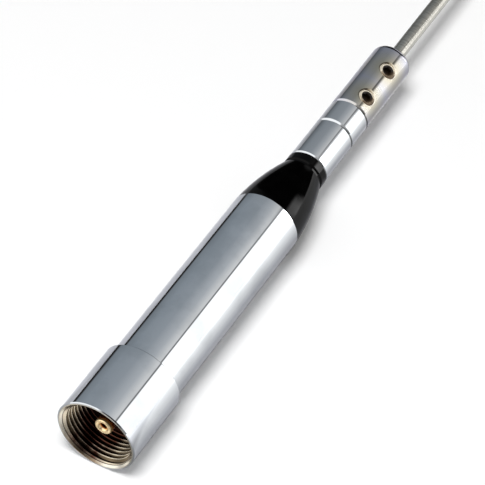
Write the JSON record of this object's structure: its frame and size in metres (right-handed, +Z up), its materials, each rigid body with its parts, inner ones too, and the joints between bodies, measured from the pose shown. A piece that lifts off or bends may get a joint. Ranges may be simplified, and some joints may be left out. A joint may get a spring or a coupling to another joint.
{
  "type": "car antenna",
  "caption": "Whip antenna for a vehicle: screw-on coaxial plug, plated barrel, insulating cone, bored holder with set screws and a steel whip.",
  "frame": {"origin": "on the mast's axis in the plane of the coupling ring's mouth, the lowest plane of the antenna as it stands on its socket", "axes": "+Z up along the mast from the plug to the whip's tip, -Y towards the side where the two set screws open, +X to the right of that side"},
  "size_m": [0.018, 0.018, 0.3898],
  "materials": {
    "chrome": "bright plated brass",
    "spring_steel": "spring steel",
    "nickel": "nickel plated brass",
    "phenolic": "dark brown moulded resin",
    "gold_plate": "gold plated brass",
    "bare_brass": "turned brass",
    "seal_rubber": "black nitrile",
    "ceramic": "dipped ceramic disc",
    "copper": "enamelled copper wire",
    "nylon": "natural moulded nylon",
    "black_gloss": "gloss black moulded plastic",
    "screw_steel": "plain alloy steel",
    "whip_steel": "satin stainless steel"
  },
  "bodies": {
    "mast": {"plug_body": "nickel", "pin_insulator": "phenolic", "centre_pin": "gold_plate", "base_bush": "bare_brass", "base_seal": "seal_rubber", "barrel": "chrome", "capacitor": "ceramic", "lower_lead": "copper", "coil_former": "nylon", "matching_coil": "copper", "upper_lead": "copper", "cone": "black_gloss", "cone_seal": "seal_rubber", "top_stud": "bare_brass", "stud_washer": "bare_brass", "stud_nut": "bare_brass", "element_base": "chrome", "lock_ring": "chrome", "whip_holder": "chrome"},
    "ring_carrier": {"snap_ring": "spring_steel"},
    "ring": {"coupling_ring": "chrome"},
    "lower_screw": {"set_screw_lower": "screw_steel"},
    "upper_screw": {"set_screw_upper": "screw_steel"},
    "whip": {"whip_rod": "whip_steel"}
  },
  "joints": [
    {"name": "ring_slide", "type": "slide", "parent": "mast", "child": "ring_carrier", "axis": [0, 0, 1], "range_m": [0, 0.002]},
    {"name": "ring_spin", "type": "hinge", "parent": "ring_carrier", "child": "ring", "pos_m": [0, 0, 0.0137], "axis": [0, 0, 1], "continuous": true},
    {"name": "lower_screw_travel", "type": "slide", "parent": "mast", "child": "lower_screw", "axis": [0, -1, 0], "range_m": [0, 0.0015]},
    {"name": "upper_screw_travel", "type": "slide", "parent": "mast", "child": "upper_screw", "axis": [0, -1, 0], "range_m": [0, 0.0015]},
    {"name": "whip_slide", "type": "slide", "parent": "mast", "child": "whip", "axis": [0, 0, 1], "range_m": [0, 0.008]}
  ]
}
